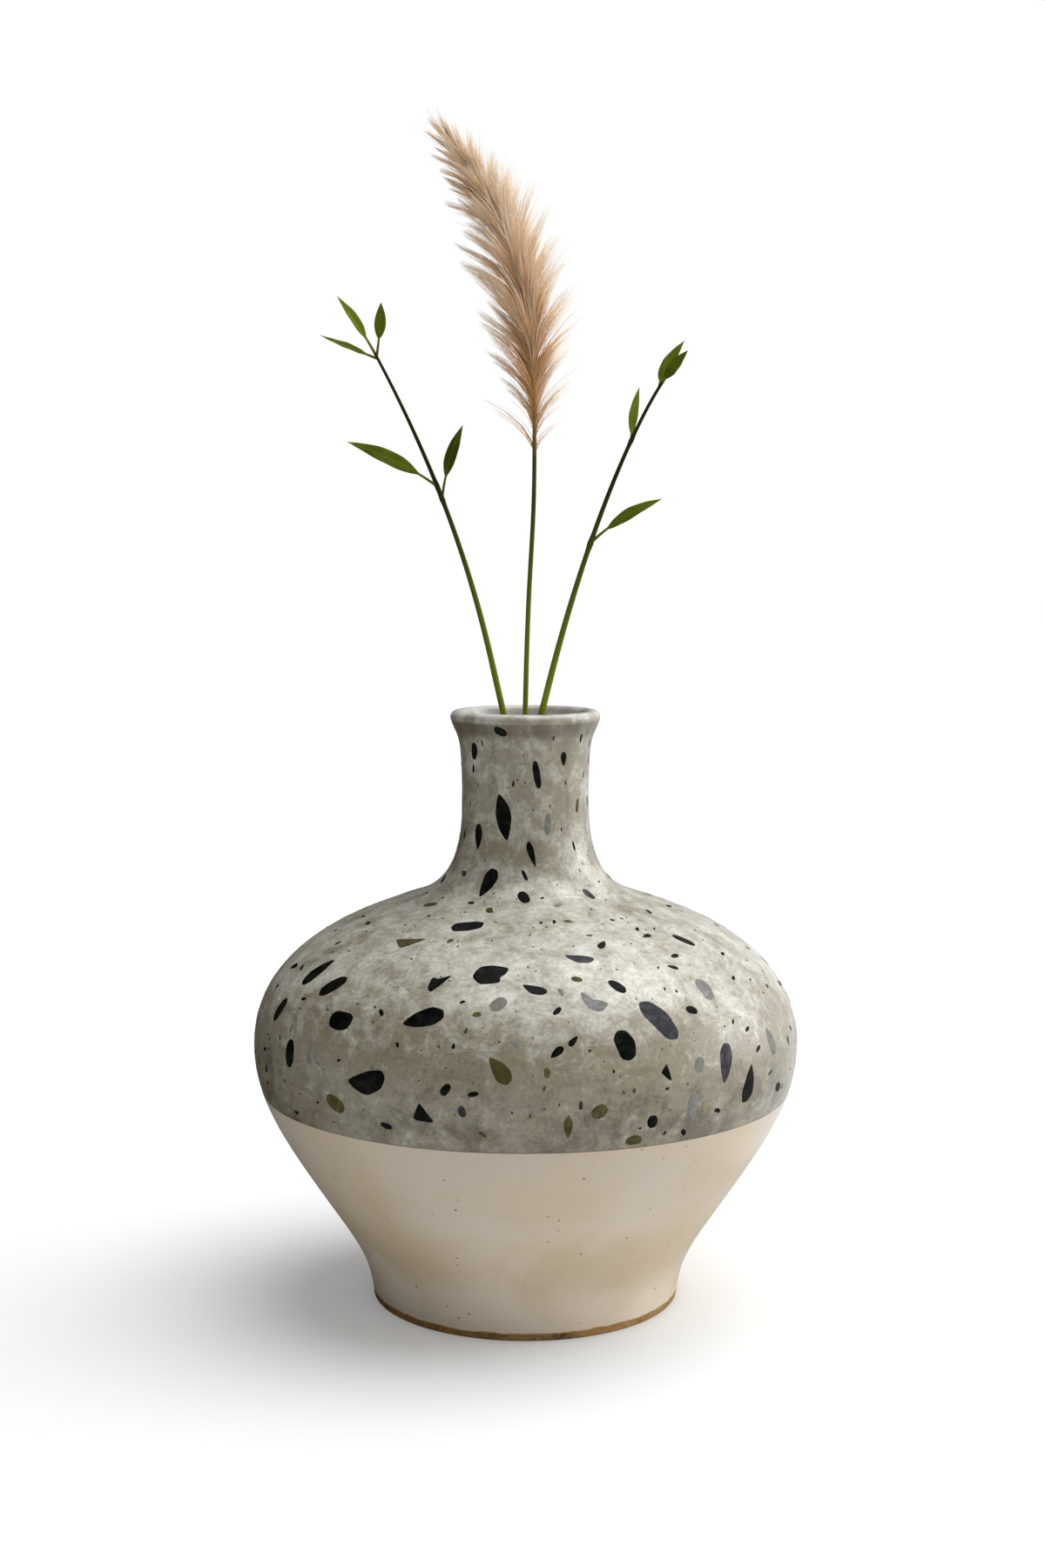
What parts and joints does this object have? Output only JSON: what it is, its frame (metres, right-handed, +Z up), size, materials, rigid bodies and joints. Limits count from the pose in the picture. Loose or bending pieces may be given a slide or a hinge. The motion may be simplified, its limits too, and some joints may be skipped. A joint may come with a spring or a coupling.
{
  "type": "bud vase with dried stems",
  "caption": "Round-bellied ceramic bud vase with a narrow flared neck in two glazes, holding a dried grass plume and leafy sprigs that lift out.",
  "frame": {"origin": "middle of the footprint, on the surface that the vase stands on", "axes": "+Z up along the vase axis; -Y faces the viewer, so the left sprig leans to -X and the right sprig to +X"},
  "size_m": [0.155, 0.155, 0.3342],
  "materials": {
    "cream_glaze": "glossy speckled glaze",
    "stone_glaze": "glossy mottled glaze with dark chips",
    "bare_stoneware": "unglazed, dry",
    "straw_green": "smooth dry culm",
    "dry_plume": "soft dry seed head",
    "sprig_bark": "smooth green bark",
    "leaf_green": "satin leaf"
  },
  "bodies": {
    "vase": {"lower_body": "cream_glaze", "upper_body": "stone_glaze", "foot_ring": "bare_stoneware"},
    "grass": {"grass_stem": "straw_green", "grass_plume": "dry_plume"},
    "left_sprig": {"left_sprig_stem": "sprig_bark", "left_leaf_low": "leaf_green", "left_leaf_inner": "leaf_green", "left_leaf_right": "leaf_green", "left_leaf_top": "leaf_green", "left_leaf_outer": "leaf_green"},
    "right_sprig": {"right_sprig_stem": "sprig_bark", "right_leaf_low": "leaf_green", "right_leaf_mid": "leaf_green", "right_leaf_front": "leaf_green", "right_leaf_back": "leaf_green"}
  },
  "joints": [
    {"name": "grass_lift", "type": "slide", "parent": "vase", "child": "grass", "axis": [0.0248, 0.0049, 0.9997], "range_m": [0, 0.18]},
    {"name": "left_sprig_lift", "type": "slide", "parent": "vase", "child": "left_sprig", "axis": [-0.2218, 0.1825, 0.9579], "range_m": [0, 0.18]},
    {"name": "right_sprig_lift", "type": "slide", "parent": "vase", "child": "right_sprig", "axis": [0.2341, -0.1432, 0.9616], "range_m": [0, 0.18]}
  ]
}
